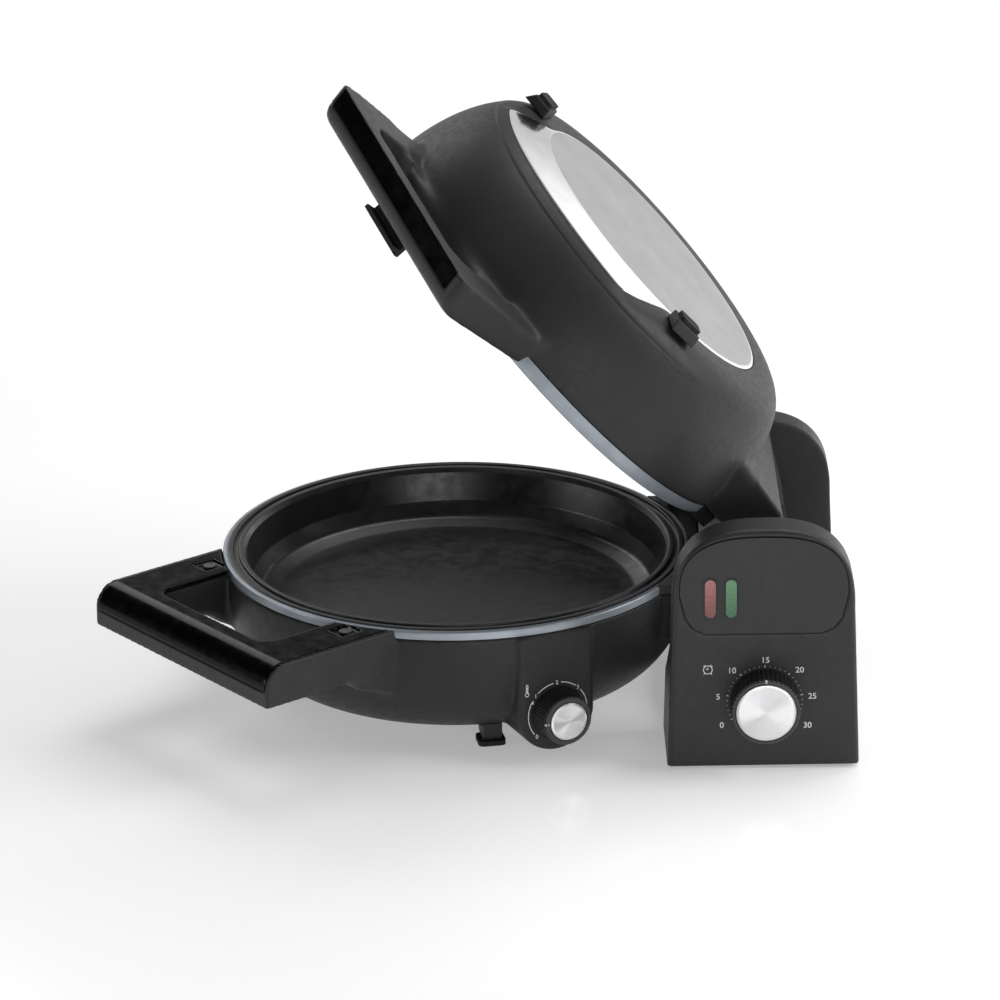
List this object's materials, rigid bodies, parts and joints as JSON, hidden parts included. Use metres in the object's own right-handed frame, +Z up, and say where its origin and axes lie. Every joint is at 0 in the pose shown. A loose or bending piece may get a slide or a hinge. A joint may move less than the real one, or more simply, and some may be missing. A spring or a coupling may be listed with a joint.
{
  "type": "electric tortilla maker",
  "caption": "Flip-over electric tortilla and omelette cooker: round pan and hinged lid pan turning on an axle between two posts, with timer and thermostat knobs.",
  "frame": {"origin": "middle of the bounding box in plan, on the table", "axes": "+X from the bowl towards the hinge posts, +Y away from the viewer along the hinge axis, +Z up"},
  "size_m": [0.4422, 0.3302, 0.3872],
  "materials": {
    "grey_shell": "fine matt moulded grain",
    "gloss_black": "polished",
    "black_plastic": "matt",
    "coated_pan": "cast aluminium with a dark non-stick coat",
    "satin_steel": "satin brushed",
    "knob_dark": "ribbed, satin",
    "knob_cap": "radially brushed",
    "steel": "plain",
    "sheet_aluminium": "mill",
    "cast_aluminium": "die cast, plain",
    "fuse_body": "plain",
    "copper": "drawn",
    "bush": "sintered",
    "rubber": "matt",
    "red_lens": "clear tinted",
    "green_lens": "clear tinted",
    "neon_glass": "clear"
  },
  "bodies": {
    "stand": {"front_post": "grey_shell", "front_post_panel": "gloss_black", "front_post_bottom": "black_plastic", "rear_post": "grey_shell", "rear_post_panel": "gloss_black", "rear_post_bottom": "black_plastic", "stand_bridge": "grey_shell", "stand_bridge_cover": "black_plastic", "stand_feet": "rubber", "bottom_screws": "steel", "hinge_bushes": "bush", "front_hinge_hub": "grey_shell", "lamp_bezels": "black_plastic", "red_lens": "red_lens", "green_lens": "green_lens", "neon_lamps": "neon_glass", "lamp_holder": "black_plastic", "timer_unit": "steel", "timer_bell": "steel", "terminal_block": "black_plastic", "cord_inlet_bush": "rubber"},
    "hinge_unit": {"hinge_axle": "steel", "axle_collars": "steel"},
    "bowl": {"bowl_shell": "grey_shell", "bowl_pan": "coated_pan", "bowl_handle_cover": "gloss_black", "bowl_handle_screws": "steel", "bowl_heating_element": "steel", "bowl_heat_shield": "sheet_aluminium", "bowl_shield_posts": "steel", "bowl_thermal_fuse": "fuse_body", "bowl_feet": "grey_shell", "bowl_foot_pads": "rubber", "bowl_hinge_bracket": "cast_aluminium", "thermostat_unit": "fuse_body", "thermostat_bulb": "copper"},
    "lid": {"lid_shell": "grey_shell", "lid_pan": "coated_pan", "lid_disc": "satin_steel", "lid_handle_strip": "gloss_black", "lid_heating_element": "steel", "lid_heat_shield": "sheet_aluminium", "lid_shield_posts": "steel", "lid_thermal_fuse": "fuse_body", "lid_feet": "grey_shell", "lid_foot_pads": "rubber", "lid_hinge_bracket": "cast_aluminium", "latch_pin": "steel"},
    "latch": {"latch_hook": "black_plastic"},
    "timer_knob": {"timer_shaft": "steel", "timer_knob": "knob_dark", "timer_knob_cap": "knob_cap"},
    "thermostat_knob": {"thermostat_shaft": "steel", "thermostat_knob": "knob_dark", "thermostat_knob_cap": "knob_cap"}
  },
  "joints": [
    {"name": "flip", "type": "hinge", "parent": "stand", "child": "hinge_unit", "pos_m": [0.16574, 0.0257, 0.085], "axis": [0, 1, 0], "range_deg": [0, 131.5]},
    {"name": "bowl_hinge", "type": "hinge", "parent": "hinge_unit", "child": "bowl", "pos_m": [0.16574, 0.0257, 0.085], "axis": [0, 1, 0], "range_deg": [0, 48.5]},
    {"name": "lid_hinge", "type": "hinge", "parent": "hinge_unit", "child": "lid", "pos_m": [0.16574, 0.0257, 0.085], "axis": [0, 1, 0], "range_deg": [-48.5, 0]},
    {"name": "latch_pivot", "type": "hinge", "parent": "lid", "child": "latch", "pos_m": [-0.03862, -0.08156, 0.32248], "axis": [0.4061, -0.7902, -0.459], "range_deg": [0, 25], "stiffness_Nm_per_rad": 0.05, "springref_deg": -14.32},
    {"name": "timer_turn", "type": "hinge", "parent": "stand", "child": "timer_knob", "pos_m": [0.16634, -0.1243, 0.0419], "axis": [0, 1, 0], "range_deg": [-120, 120]},
    {"name": "thermostat_turn", "type": "hinge", "parent": "bowl", "child": "thermostat_knob", "pos_m": [0.04781, -0.10247, 0.0285], "axis": [-0.4067, 0.9135, 0], "range_deg": [-45, 225]}
  ]
}
